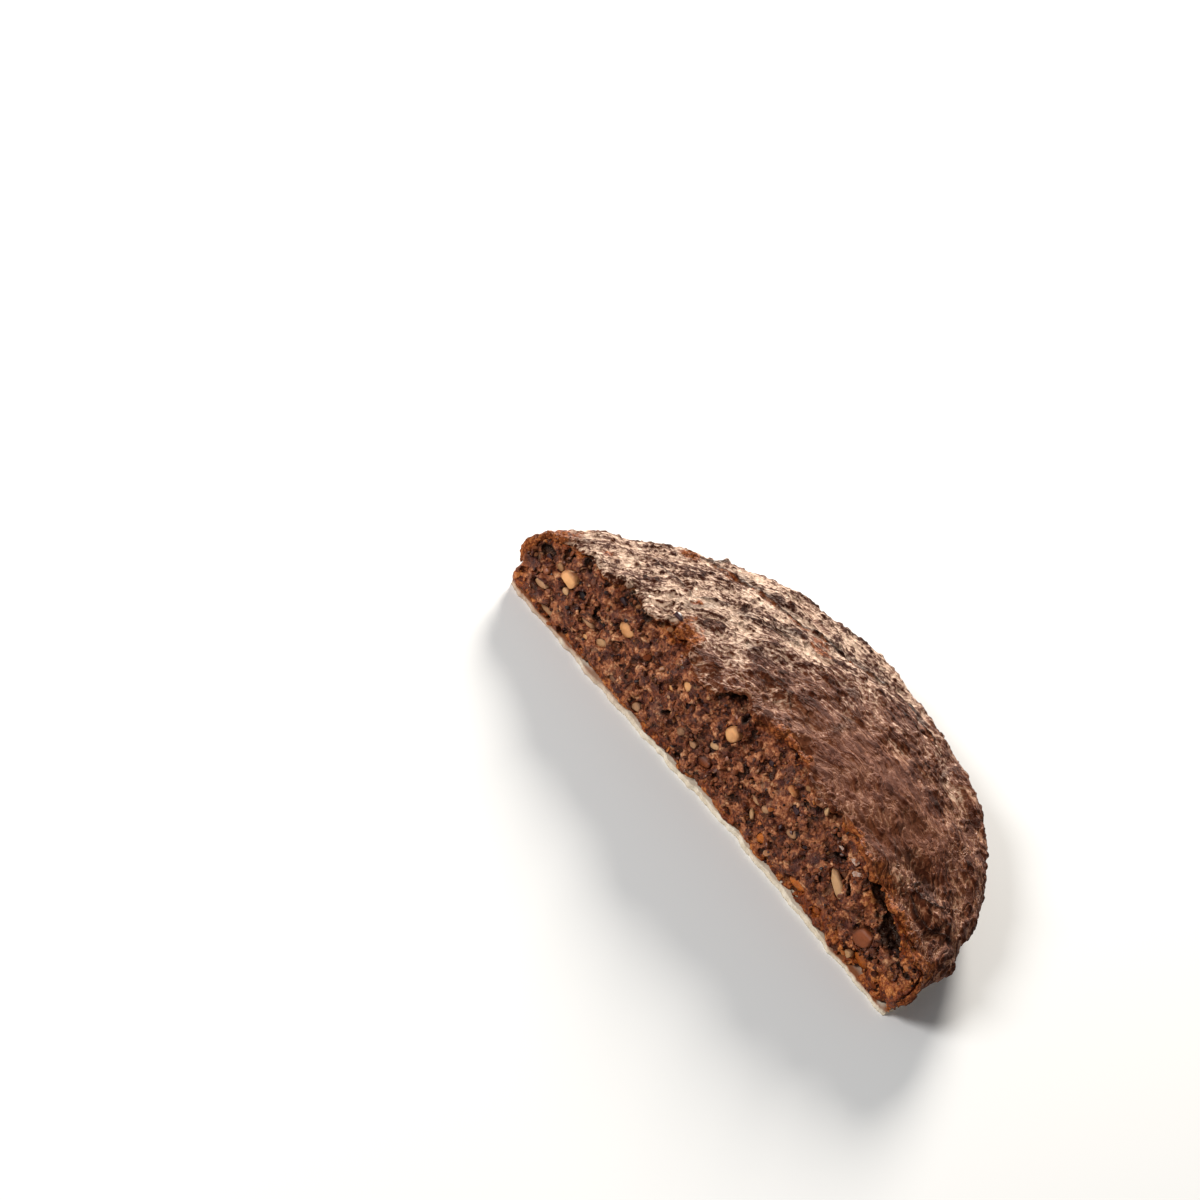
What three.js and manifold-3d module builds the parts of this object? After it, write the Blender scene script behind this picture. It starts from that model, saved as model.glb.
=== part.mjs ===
// Half of a round lebkuchen: a domed nut dough baked on a pale wafer and broken in two.
// Millimetres, +Z up. The broken face looks along -Y, the wafer lies on Z = 0, and the
// origin is under the middle of the half's bounding box.

import * as THREE from "three";
import { mergeVertices } from "three/addons/utils/BufferGeometryUtils.js";
import { ImprovedNoise } from "three/addons/math/ImprovedNoise.js";
import Module from "manifold-3d";

const wasm = await Module();
wasm.setup();

// ---- driving dimensions ----

const WAFER_RADIUS = 45;
const WAFER_THICKNESS = 0.9;
const WAFER_STRIPS = 110; // the wafer's mesh runs in this many strips along the break
const WAFER_TIP = 0.03; // angle at which the round edge stops short of the torn edge
const WAFER_EDGE = { size: 6, rise: 0.28, layer: 8 }; // uneven trim of the round edge
const WAFER_EDGE_RUN = 20; // length of trim for each radian, which sets how wavy it is
const WAFER_TEAR = { size: 3.4, rise: 0.35, layer: 9 }; // ragged line of the torn edge
const WAFER_BOW = { x: 9, half: 17, deep: 1.0 }; // the torn edge bows back in the middle

const CROWN_HEIGHT = 17; // top of the dome above the table, wafer included

// The dome's section from the crown down to the foot, as [radius, height]. Below the
// shoulder the side bulges past the wafer.
const SECTION = [
  [0, CROWN_HEIGHT],
  [12, 16.6],
  [23, 15.3],
  [33, 13.1],
  [40, 11.2],
  [44, 10.0],
  [45.7, 8.8],
  [46.5, 7.0],
  [46.2, 4.8],
  [45.4, 2.6],
  [45.0, WAFER_THICKNESS],
];
const TOP_RINGS = 34; // rings of triangles from the crown to the shoulder
const TOP_STEP = 1.36; // spacing of those rings along the section
const SIDE_RINGS = 10; // rings from the shoulder to the foot
const SECTION_DIVISIONS = 600; // how finely the section's length is measured

// Unevenness of the baked skin: size of the lumps, and how far they stand out. Each kind
// of unevenness has its own layer of the noise.
const SWELL = { size: 17, rise: 0.45, layer: 3 };
const LUMP = { size: 6.5, rise: 0.42, layer: 4 };
const RIPPLE = { size: 3.2, rise: 0.3, layer: 5 };
const RIM_WAVER = { size: 9, rise: 0.25, layer: 6 }; // the side wanders in and out
const SIDE_FROM = 40; // radius where the top starts to turn into the side

// How far the rim stands out of the round, as [degrees from +X, outward]. The dough is
// thick at the half's left end and drawn in behind it.
const RIM_FORM = [
  [-12, 0.9],
  [4, 0.8],
  [22, -0.4],
  [48, -0.7],
  [61, 0.1],
  [80, -1.1],
  [100, -0.7],
  [122, -0.3],
  [137, -1.3],
  [148, -1.8],
  [160, -0.5],
  [171, 1.2],
  [184, 1.7],
];
const RIM_FORM_FROM = 30; // radius where that form sets in
const RIM_FORM_LOW = 2.2; // height under which the side keeps to the round
const RIM_FORM_HIGH = 6.2;
const FOOT_SHARE = 0.4; // share of the lumps that the foot's outline keeps

// A crack from baking runs round the side. It wanders up and down, and closes in places.
const CRACK = { height: 4.2, halfWidth: 0.8, deep: 1.2, usualOpening: 0.5 };
const CRACK_WANDER = { size: 11, rise: 0.8, layer: 7 };
const CRACK_OPEN = { size: 8, rise: 0.8, layer: 10 };

// Dents and folds in the skin: middle, half sizes, turn of the long side, depth. A lip
// that stands up has a negative depth.
const SKIN_DENTS = [
  { x: -8.5, y: 1.5, long: 5.5, wide: 3.4, turn: 0, deep: 0.9 },
  { x: 33, y: 14, long: 3.8, wide: 1.7, turn: 0.1, deep: 1.0 },
  { x: 35.2, y: 9.4, long: 2.6, wide: 1.0, turn: -0.8, deep: 1.0 },
  { x: 39.3, y: 7.4, long: 2.8, wide: 1.0, turn: 0.25, deep: 0.9 },
  { x: 42.2, y: 10.8, long: 2.2, wide: 1.0, turn: 1.2, deep: 0.6 },
  { x: 38.5, y: 11.4, long: 3.2, wide: 2.4, turn: 0.2, deep: -0.8 },
  { x: -22, y: 29.2, long: 8.5, wide: 1.2, turn: 0.12, deep: 0.8 },
  { x: -7, y: 34, long: 8.5, wide: 1.2, turn: 0.5, deep: 0.9 },
  { x: 8, y: 39.5, long: 4.5, wide: 1.3, turn: -0.3, deep: 0.7 },
  { x: -18, y: 34, long: 9, wide: 2.4, turn: 0.4, deep: -0.5 },
  { x: 2, y: 25.5, long: 2.6, wide: 1.4, turn: 0.2, deep: 0.6 },
  { x: -31.5, y: 28.5, long: 4, wide: 1.3, turn: -0.9, deep: 0.8 },
  { x: 19, y: 34, long: 4.5, wide: 1.6, turn: 2.2, deep: 0.6 },
  { x: -34, y: 26, long: 3.4, wide: 1.2, turn: 0.9, deep: -0.7 },
];

// Where the break leaves the skin: [x along the break, setback from the wafer's edge].
const BREAK_EDGE = [
  [-52, 3.2],
  [-46.3, 3.4],
  [-40, 3.6],
  [-33, 3.3],
  [-27.2, 4.2],
  [-24.6, 2.2],
  [-22.2, 3.6],
  [-19.5, 5.7],
  [-15.4, 5.2],
  [-13.2, 1.2],
  [-9, 0.3],
  [-5.4, 0.9],
  [-3, 4.2],
  [-0.2, 2.7],
  [3, 5.9],
  [9.5, 5.5],
  [13.4, 2.4],
  [18, 1.9],
  [20.6, 4.1],
  [25.5, 3.8],
  [30, 2.5],
  [35, 2.4],
  [40, 1.7],
  [46.8, 0.8],
  [52, 0.5],
];
const BREAK_START = 0.3; // setback of the dough from the wafer's torn edge, at the wafer
const BREAK_LEAN = 2.2; // the face stands upright low down and leans back near the skin
const BREAK_CELL = 0.95; // spacing of the broken face's relief
const CLUMP = { size: 4.2, rise: 0.85, layer: 1 };
const GRAIN = { size: 1.9, rise: 0.5, layer: 2 };

// Gaps torn into the broken face: middle, half length, half height, depth.
const GAPS = [
  { x: -25.8, z: 13.9, long: 2.4, high: 0.8, deep: 2.0 },
  { x: -3.4, z: 16.4, long: 2.4, high: 0.8, deep: 2.0 },
  { x: 35.8, z: 10.0, long: 2.6, high: 1.0, deep: 2.8 },
  { x: 31.6, z: 12.0, long: 1.8, high: 0.9, deep: 2.0 },
  { x: 39.4, z: 8.5, long: 1.7, high: 0.8, deep: 1.8 },
  { x: -40.0, z: 9.3, long: 1.7, high: 1.1, deep: 1.3 },
  { x: -36.2, z: 11.4, long: 1.9, high: 0.8, deep: 1.6 },
  { x: -29.6, z: 7.6, long: 2.4, high: 0.7, deep: 1.0 },
  { x: 24.2, z: 10.7, long: 1.3, high: 0.8, deep: 1.1 },
  { x: 28.6, z: 9.4, long: 1.5, high: 0.9, deep: 1.2 },
  { x: -5.7, z: 2.1, long: 1.2, high: 0.8, deep: 1.2 },
  { x: 15.6, z: 13.6, long: 1.4, high: 0.7, deep: 0.9 },
];

// Nut pieces that show in the broken face: place, size along and across, and turn.
const NUTS = [
  { x: -37.0, z: 8.4, long: 3.5, wide: 2.9, turn: 0.1 },
  { x: -24.4, z: 10.1, long: 3.2, wide: 2.7, turn: 0.3 },
  { x: -0.4, z: 12.0, long: 2.9, wide: 2.6, turn: 1.3 },
  { x: 26.7, z: 8.0, long: 5.3, wide: 2.2, turn: -0.61 },
  { x: 35.3, z: 6.4, long: 4.0, wide: 3.2, turn: 1.2 },
  { x: -40.3, z: 4.8, long: 3.0, wide: 1.6, turn: 0.2 },
  { x: -30.1, z: 6.2, long: 2.8, wide: 1.0, turn: 0.1 },
  { x: -26.4, z: 5.5, long: 2.2, wide: 1.5, turn: 0.7 },
  { x: -37.3, z: 1.9, long: 3.0, wide: 1.5, turn: 0.1 },
  { x: -15.3, z: 2.8, long: 1.8, wide: 1.7, turn: 0.1 },
  { x: -10.3, z: 12.8, long: 1.8, wide: 1.5, turn: 1.8 },
  { x: -7.2, z: 6.0, long: 1.9, wide: 1.3, turn: 0.8 },
  { x: -1.8, z: 8.1, long: 2.0, wide: 1.4, turn: 0.6 },
  { x: 12.4, z: 13.2, long: 1.9, wide: 1.4, turn: -0.2 },
  { x: 13.0, z: 3.6, long: 2.1, wide: 1.6, turn: 1.5 },
  { x: 16.4, z: 8.2, long: 2.1, wide: 1.5, turn: 0.4 },
];
const NUT_SHOWS = 0.3; // share of a nut's width that stands out of the dough

// A block in front of the half is taken away to leave the broken face.
const BLOCK = { wide: 104, deep: 70, low: -3, high: 21 };

const DOUGH_COLOUR = "#5d3a26";
const WAFER_COLOUR = "#e6dccb";

// ---- small helpers ----

const perlin = new ImprovedNoise();
const NOISE_GAIN = 1.6; // brings the noise's usual peaks to about 1
const LAYER_STEP = 17.3; // distance in the noise between layers, so that none repeats

// Smooth unevenness of a given size and rise at a point, from about -rise to +rise.
function uneven(kind, x, y, z) {
  const [u, v, w] = [x / kind.size, y / kind.size, z / kind.size];
  return kind.rise * NOISE_GAIN * perlin.noise(u + LAYER_STEP * kind.layer, v + 0.1, w + 0.7);
}

// Height of an oval dip at (u, v) from its middle: 1 in the middle, fading to 0.
function dip(u, v, halfLong, halfWide) {
  return Math.exp(-((u / halfLong) ** 2) - (v / halfWide) ** 2);
}

function turned(u, v, angle) {
  const c = Math.cos(angle);
  const s = Math.sin(angle);
  return [u * c + v * s, v * c - u * s];
}

const HALVINGS = 24; // steps that find a spot on a line
const MERGE_WITHIN = 1e-4; // corners this close are one corner

function smoothLine(points) {
  return new THREE.SplineCurve(points.map(([x, y]) => new THREE.Vector2(x, y)));
}

// Height of a smooth line at x. Its points lie in order of x, so the spot is found by
// halving.
function heightOf(line, x) {
  let low = 0;
  let high = 1;
  for (let step = 0; step < HALVINGS; step += 1) {
    const middle = (low + high) / 2;
    if (line.getPoint(middle).x < x) low = middle;
    else high = middle;
  }
  return line.getPoint(low).y;
}

function toSolid(geometry) {
  const plain = geometry.clone();
  plain.deleteAttribute("normal");
  plain.deleteAttribute("uv");
  const merged = mergeVertices(plain, MERGE_WITHIN);
  return new wasm.Manifold(
    new wasm.Mesh({
      numProp: 3,
      vertProperties: new Float32Array(merged.attributes.position.array),
      triVerts: new Uint32Array(merged.index.array),
    }),
  );
}

function toGeometry(solid) {
  const mesh = solid.getMesh();
  const geometry = new THREE.BufferGeometry();
  geometry.setAttribute("position", new THREE.BufferAttribute(mesh.vertProperties, 3));
  geometry.setIndex(new THREE.BufferAttribute(mesh.triVerts, 1));
  geometry.computeVertexNormals();
  return geometry;
}

// ---- the break, shared by the wafer, the dough and its gaps and nuts ----

const breakEdge = smoothLine(BREAK_EDGE);
const rimForm = smoothLine(RIM_FORM);

// The dome's height above the table at a distance from its middle, without lumps.
const DOME_FALL = 2.2;
const DOME_EDGE_HEIGHT = 9;
function domeHeight(radius) {
  const fall = Math.min(radius / WAFER_RADIUS, 1) ** DOME_FALL;
  return CROWN_HEIGHT - (CROWN_HEIGHT - DOME_EDGE_HEIGHT) * fall;
}

// How far back the broken face lies at (x, z), before its gaps are torn out.
function plainBreak(x, z) {
  const skin = domeHeight(Math.abs(x)) - WAFER_THICKNESS;
  const up = Math.max(z - WAFER_THICKNESS, 0) / skin;
  const clumps = uneven(CLUMP, x, 0, z) + uneven(GRAIN, x, 0, z);
  return BREAK_START + waferBow(x) + heightOf(breakEdge, x) * up ** BREAK_LEAN + clumps;
}

function waferBow(x) {
  return WAFER_BOW.deep * dip(x - WAFER_BOW.x, 0, WAFER_BOW.half, 1);
}

function brokenFace(x, z) {
  let back = plainBreak(x, z);
  for (const gap of GAPS) {
    back += gap.deep * dip(x - gap.x, z - gap.z, gap.long, gap.high);
  }
  return back;
}

// ---- dough ----

// The whole dome: rings of 6, 12, 18 ... points down to the shoulder, then rings of
// equal length down the side, and a flat foot.
function wholeDome() {
  const section = new THREE.SplineCurve(SECTION.map(([r, z]) => new THREE.Vector2(r, z)));
  section.arcLengthDivisions = SECTION_DIVISIONS;
  const length = section.getLength();
  const shoulderAt = TOP_RINGS * TOP_STEP;
  const sideStep = (length - shoulderAt) / SIDE_RINGS;
  const positions = [];
  const ringStarts = [];
  const ringSizes = [];

  for (let ring = 0; ring <= TOP_RINGS + SIDE_RINGS; ring += 1) {
    const onTop = ring <= TOP_RINGS;
    const along = onTop ? ring * TOP_STEP : shoulderAt + (ring - TOP_RINGS) * sideStep;
    const spot = section.getPointAt(Math.min(along / length, 1));
    const tangent = section.getTangentAt(Math.min(along / length, 1));
    const count = ring === 0 ? 1 : 6 * Math.min(ring, TOP_RINGS);
    const atFoot = ring === TOP_RINGS + SIDE_RINGS;
    ringStarts.push(positions.length / 3);
    ringSizes.push(count);
    for (let i = 0; i < count; i += 1) {
      const angle = (2 * Math.PI * i) / count;
      const point = skinPoint(spot, tangent, angle, atFoot);
      positions.push(point.x, point.y, atFoot ? WAFER_THICKNESS : point.z);
    }
  }

  const faces = [];
  for (let ring = 0; ring < TOP_RINGS; ring += 1) {
    const inner = (i) => ringStarts[ring] + (i % ringSizes[ring]);
    const outer = (i) => ringStarts[ring + 1] + (i % ringSizes[ring + 1]);
    for (let sixth = 0; sixth < 6; sixth += 1) {
      for (let i = 0; i <= ring; i += 1) {
        const from = sixth * (ring + 1) + i;
        const to = sixth * ring + i;
        faces.push(outer(from), outer(from + 1), inner(to));
        if (i < ring) faces.push(inner(to), outer(from + 1), inner(to + 1));
      }
    }
  }
  const around = 6 * TOP_RINGS;
  for (let ring = TOP_RINGS; ring < TOP_RINGS + SIDE_RINGS; ring += 1) {
    for (let i = 0; i < around; i += 1) {
      const a = ringStarts[ring] + i;
      const b = ringStarts[ring] + ((i + 1) % around);
      const c = ringStarts[ring + 1] + i;
      const d = ringStarts[ring + 1] + ((i + 1) % around);
      faces.push(c, d, a, a, d, b);
    }
  }
  const footStart = ringStarts[TOP_RINGS + SIDE_RINGS];
  const footMiddle = positions.length / 3;
  positions.push(0, 0, WAFER_THICKNESS);
  for (let i = 0; i < around; i += 1) {
    faces.push(footStart + ((i + 1) % around), footStart + i, footMiddle);
  }

  const geometry = new THREE.BufferGeometry();
  geometry.setAttribute("position", new THREE.Float32BufferAttribute(positions, 3));
  geometry.setIndex(faces);
  return geometry;
}

// A point of the baked skin: the section turned by an angle, pushed in or out by lumps
// and dents. At the foot it only moves level, so that the foot stays flat.
function skinPoint(spot, tangent, angle, atFoot) {
  const outward = new THREE.Vector2(-tangent.y, tangent.x);
  if (outward.dot(new THREE.Vector2(1, 2)) < 0) outward.negate();
  const x = spot.x * Math.cos(angle);
  const y = spot.x * Math.sin(angle);
  const z = spot.y;
  let push = uneven(SWELL, x, y, z) + uneven(LUMP, x, y, z) + uneven(RIPPLE, x, y, z);
  for (const dent of SKIN_DENTS) {
    const [u, v] = turned(x - dent.x, y - dent.y, dent.turn);
    push -= dent.deep * dip(u, v, dent.long, dent.wide);
  }
  const degrees = THREE.MathUtils.radToDeg(angle > 1.5 * Math.PI ? angle - 2 * Math.PI : angle);
  const form = heightOf(rimForm, degrees);
  const outer = THREE.MathUtils.smoothstep(spot.x, RIM_FORM_FROM, WAFER_RADIUS);
  push += form * outer * THREE.MathUtils.smoothstep(z, RIM_FORM_LOW, RIM_FORM_HIGH);
  const side = THREE.MathUtils.smoothstep(spot.x, SIDE_FROM, WAFER_RADIUS + 1);
  const waver = side * uneven(RIM_WAVER, x, y, 0);
  const crackHeight = CRACK.height + uneven(CRACK_WANDER, x, y, 0);
  const open = CRACK.usualOpening + uneven(CRACK_OPEN, x, y, 0);
  const opening = THREE.MathUtils.clamp(open, 0, 1);
  const crack = side * CRACK.deep * opening * dip(z - crackHeight, 0, CRACK.halfWidth, 1);
  const radius = spot.x + waver - crack + push * (atFoot ? FOOT_SHARE : outward.x);
  return new THREE.Vector3(
    radius * Math.cos(angle),
    radius * Math.sin(angle),
    z + outward.y * push,
  );
}

// A block in front of the half whose back wall is the broken face's relief.
function brokenOffBlock() {
  const { wide, deep, low, high } = BLOCK;
  const across = Math.round(wide / BREAK_CELL);
  const up = Math.round((high - low) / BREAK_CELL);
  const block = new THREE.BoxGeometry(wide, deep, high - low, across, 1, up);
  block.translate(0, -deep / 2, (high + low) / 2);
  const position = block.attributes.position;
  for (let i = 0; i < position.count; i += 1) {
    if (position.getY(i) > -1) {
      position.setY(i, brokenFace(position.getX(i), position.getZ(i)));
    }
  }
  return block;
}

function nutPiece(nut) {
  const piece = new THREE.IcosahedronGeometry(1, 1);
  const sunk = nut.wide * (0.5 - NUT_SHOWS);
  piece.scale(nut.long / 2, nut.wide / 2, nut.wide / 2);
  piece.rotateY(-nut.turn);
  piece.translate(nut.x, plainBreak(nut.x, nut.z) + sunk, nut.z);
  return piece;
}

function doughGeometry() {
  let dough = toSolid(wholeDome()).subtract(toSolid(brokenOffBlock()));
  for (const nut of NUTS) {
    dough = dough.add(toSolid(nutPiece(nut)));
  }
  return toGeometry(dough);
}

// ---- wafer ----

// A half disc in strips that run from the torn edge to the round edge.
function waferGeometry() {
  const wafer = new THREE.BoxGeometry(1, 1, WAFER_THICKNESS, WAFER_STRIPS, 1, 1);
  const position = wafer.attributes.position;
  for (let i = 0; i < position.count; i += 1) {
    const share = 0.5 - position.getX(i);
    const angle = WAFER_TIP + (Math.PI - 2 * WAFER_TIP) * share;
    const atTear = position.getY(i) < 0;
    const trim = WAFER_RADIUS + uneven(WAFER_EDGE, WAFER_EDGE_RUN * angle, 0, 0);
    const x = trim * Math.cos(angle);
    const tear = waferBow(x) + uneven(WAFER_TEAR, x, 0, 0);
    const y = atTear ? tear : trim * Math.sin(angle);
    const z = position.getZ(i) < 0 ? 0 : WAFER_THICKNESS;
    position.setXYZ(i, x, y, z);
  }
  return wafer;
}

// ---- the half lebkuchen ----

function mesh(name, geometry, material) {
  const piece = new THREE.Mesh(geometry, new THREE.MeshStandardMaterial(material));
  piece.name = name;
  return piece;
}

const lebkuchen = new THREE.Group();
lebkuchen.add(mesh("dough", doughGeometry(), { color: DOUGH_COLOUR, roughness: 0.65, metalness: 0 }));
lebkuchen.add(mesh("wafer", waferGeometry(), { color: WAFER_COLOUR, roughness: 0.9, metalness: 0 }));

const middle = new THREE.Box3().setFromObject(lebkuchen).getCenter(new THREE.Vector3());
lebkuchen.position.set(-middle.x, -middle.y, 0);

export default lebkuchen;
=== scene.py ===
"""Half of a round lebkuchen on its wafer, with its skin, its broken crumb and its nut pieces.

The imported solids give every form. The dough is turned into a volume, split into skin and
crumb, roughened grain by grain and meshed again, so the fine surface stays where the solid
is. All lengths are millimetres until a mesh is made, and metres from there on.
"""

import math

import bmesh
import bpy
import numpy as np
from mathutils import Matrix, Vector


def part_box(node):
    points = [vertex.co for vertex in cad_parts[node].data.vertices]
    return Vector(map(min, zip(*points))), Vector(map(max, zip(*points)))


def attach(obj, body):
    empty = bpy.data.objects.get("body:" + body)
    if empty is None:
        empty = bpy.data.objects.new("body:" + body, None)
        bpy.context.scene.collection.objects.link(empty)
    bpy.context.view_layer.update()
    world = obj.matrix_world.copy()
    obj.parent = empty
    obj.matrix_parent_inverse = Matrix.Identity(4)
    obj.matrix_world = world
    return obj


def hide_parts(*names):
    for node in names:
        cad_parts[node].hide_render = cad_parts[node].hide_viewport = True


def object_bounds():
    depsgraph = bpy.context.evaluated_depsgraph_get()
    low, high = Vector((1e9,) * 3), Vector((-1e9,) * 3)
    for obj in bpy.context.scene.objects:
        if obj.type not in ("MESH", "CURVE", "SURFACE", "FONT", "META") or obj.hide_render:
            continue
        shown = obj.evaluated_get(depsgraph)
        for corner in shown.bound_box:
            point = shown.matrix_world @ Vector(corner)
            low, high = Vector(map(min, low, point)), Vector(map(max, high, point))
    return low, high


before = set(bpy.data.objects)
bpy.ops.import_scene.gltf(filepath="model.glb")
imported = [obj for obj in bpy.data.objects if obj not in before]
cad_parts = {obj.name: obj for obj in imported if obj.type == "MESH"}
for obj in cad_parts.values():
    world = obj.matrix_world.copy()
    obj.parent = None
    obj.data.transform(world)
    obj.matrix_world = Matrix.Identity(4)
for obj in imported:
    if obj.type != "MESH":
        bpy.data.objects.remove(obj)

import openvdb
from mathutils import Matrix, Vector
from mathutils.bvhtree import BVHTree

cad_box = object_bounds()

MM = 0.001
SEED = 20
FAR = 9.0  # more than any distance that counts, in sizes of the thing it is measured from


# ---- the half's frame, read from the solids ----

WAFER_RADIUS = 45.0


def vertex_values(obj, key):
    """A place or a direction for each corner point of an object."""
    values = np.zeros(len(obj.data.vertices) * 3, np.float32)
    obj.data.vertices.foreach_get(key, values)
    return values.reshape(-1, 3)


def vertex_points(obj):
    """Corner points in millimetres."""
    return vertex_values(obj, "co") / MM


def node_triangles(name):
    """Corner points, in millimetres, and triangles of a CAD node."""
    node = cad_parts[name]
    node.data.calc_loop_triangles()
    triangles = np.zeros(len(node.data.loop_triangles) * 3, np.int32)
    node.data.loop_triangles.foreach_get("vertices", triangles)
    return vertex_points(node), triangles.reshape(-1, 3).astype(np.uint32)


wafer_low, wafer_high = (np.array(corner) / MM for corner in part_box("wafer"))
WAFER_TOP = wafer_high[2]
BREAK_Y = wafer_high[1] - WAFER_RADIUS  # where the wafer's torn edge lies
CENTRE_X = (wafer_low[0] + wafer_high[0]) / 2
CENTRE = np.array([CENTRE_X, BREAK_Y, 0.0])  # middle of the round biscuit, on the table
DOUGH_POINTS, DOUGH_TRIANGLES = node_triangles("dough")


def disc_place(points):
    """Place on the table from the middle of the round biscuit."""
    return points[:, 0] - CENTRE_X, points[:, 1] - BREAK_Y


def disc_radius(points):
    return np.hypot(*disc_place(points))


# ---- random fields ----

NOISE_CELLS = 64
NOISE_SHIFT = 31.7  # in cells, so that the middle is no corner of a cell


def noise(points, size, seed):
    """Smooth random values from 0 to 1 at the points, with features of the given size."""
    table = np.random.RandomState(SEED + seed).rand(*(NOISE_CELLS,) * 3).astype(np.float32)
    scaled = points / size + NOISE_SHIFT
    base = np.floor(scaled).astype(np.int64)
    t = (scaled - base).astype(np.float32)
    tx, ty, tz = (t * t * (3 - 2 * t)).T
    x0, y0, z0 = (base % NOISE_CELLS).T
    x1, y1, z1 = ((base + 1) % NOISE_CELLS).T
    low, high = (
        (table[x0, y0, z] * (1 - tx) + table[x1, y0, z] * tx) * (1 - ty)
        + (table[x0, y1, z] * (1 - tx) + table[x1, y1, z] * tx) * ty
        for z in (z0, z1)
    )
    return low * (1 - tz) + high * tz


def ridges(points, size, seed):
    """Random creases from 0 to 1: 1 along thin winding lines."""
    return 1 - np.abs(2 * noise(points, size, seed) - 1)


GRAIN_CELLS = 32
GRAIN_SHIFT = 11.3  # in cells, as for the noise
GRAIN_ROUND = 0.62  # squared radius of a grain, in cells


def nearest_grain(points, size, seed):
    """For each point its squared distance to the nearest of many scattered grains, the
    offset from that grain, both in grain sizes, and the grain's cell."""
    rng = np.random.RandomState(SEED + seed)
    jitter = 0.15 + 0.7 * rng.rand(*(GRAIN_CELLS,) * 3, 3).astype(np.float32)
    scaled = (points / size + GRAIN_SHIFT).astype(np.float32)
    base = np.floor(scaled).astype(np.int32)
    squared = np.full(len(points), FAR, np.float32)
    offset = np.zeros((len(points), 3), np.float32)
    own = np.zeros((len(points), 3), np.int32)
    for step in np.ndindex(3, 3, 3):
        cell = base + (np.array(step, np.int32) - 1)
        wrapped = cell % GRAIN_CELLS
        away = scaled - cell - jitter[tuple(wrapped.T)]
        distance = np.einsum("ij,ij->i", away, away)
        closer = distance < squared
        squared[closer] = distance[closer]
        offset[closer] = away[closer]
        own[closer] = wrapped[closer]
    return squared, offset, own


def grain_value(own, seed):
    """A random number from 0 to 1 for each grain."""
    table = np.random.RandomState(SEED + 500 + seed).rand(*(GRAIN_CELLS,) * 3)
    return table.astype(np.float32)[tuple(own.T)]


def grains(points, size, seed, missing=0.0):
    """Random lumps packed side by side, some high and some low, each with a tilted face:
    about 1 on top of a lump, 0 between lumps. A missing one leaves a hollow."""
    squared, offset, own = nearest_grain(points, size, seed)
    kind = grain_value(own, seed)
    tilt = np.stack([grain_value(own, seed + k) - 0.5 for k in (101, 102, 103)], axis=1)
    lump = np.sqrt(np.clip(1 - squared / GRAIN_ROUND, 0, 1))
    lump = lump * (0.55 + 0.75 * grain_value(own, seed + 104))
    lump += 0.8 * np.einsum("ij,ij->i", tilt, offset) * (lump > 0)
    return np.where(kind < missing, -lump, lump)


def smoothstep(low, high, value):
    """0 on the low side, 1 on the high side and smooth between. The high one may be less."""
    t = np.clip((value - low) / (high - low), 0, 1)
    return t * t * (3 - 2 * t)


# ---- volumes ----


def softened(field, passes, axes):
    """A field averaged with its neighbours along the axes, again and again."""
    for _ in range(passes):
        for axis in axes:
            field = (np.roll(field, 1, axis) + 2 * field + np.roll(field, -1, axis)) / 4
    return field


class Volume:
    """A signed distance, negative inside, on a grid of voxels."""

    def __init__(self, voxel, band, y_limit=None):
        grid = openvdb.FloatGrid.createLevelSetFromPolygons(
            DOUGH_POINTS,
            triangles=DOUGH_TRIANGLES,
            transform=openvdb.createLinearTransform(voxel),
            halfWidth=band / voxel,
        )
        low, high = (np.array(c) for c in grid.evalActiveVoxelBoundingBox())
        if y_limit is not None:
            high[1] = min(high[1], int(y_limit / voxel))
        self.voxel = voxel
        self.band = band
        self.low = low
        self.distance = np.full(high - low + 1, band, np.float32)
        grid.copyToArray(self.distance, ijk=tuple(int(v) for v in low))

    def axis(self, number):
        """Coordinates of the voxels along one axis."""
        count = self.distance.shape[number]
        return ((self.low[number] + np.arange(count)) * self.voxel).astype(np.float32)

    def points(self, chosen):
        """Places of the chosen voxels."""
        places = np.argwhere(chosen)
        return ((places + self.low) * self.voxel).astype(np.float32)

    def blur(self, passes, share):
        """Softens the volume, so that the solid's flat faces no longer show. The share
        says how much, column by column."""
        field = softened(self.distance, passes, (0, 1, 2))
        self.distance = self.distance + share[:, :, None] * (field - self.distance)

    def mesh(self):
        """Corner points and triangles of the surface."""
        grid = openvdb.FloatGrid(self.band)
        grid.transform = openvdb.createLinearTransform(self.voxel)
        grid.copyFromArray(self.distance, ijk=tuple(int(v) for v in self.low))
        points, triangles, quads = grid.convertToPolygons(0.0, 0.0)
        halves = np.concatenate([quads[:, [0, 1, 2]], quads[:, [0, 2, 3]]])
        faces = np.concatenate([triangles, halves]).astype(np.int32)
        return points, faces[:, ::-1]


# ---- the skin's height and the line where it broke ----


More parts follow.
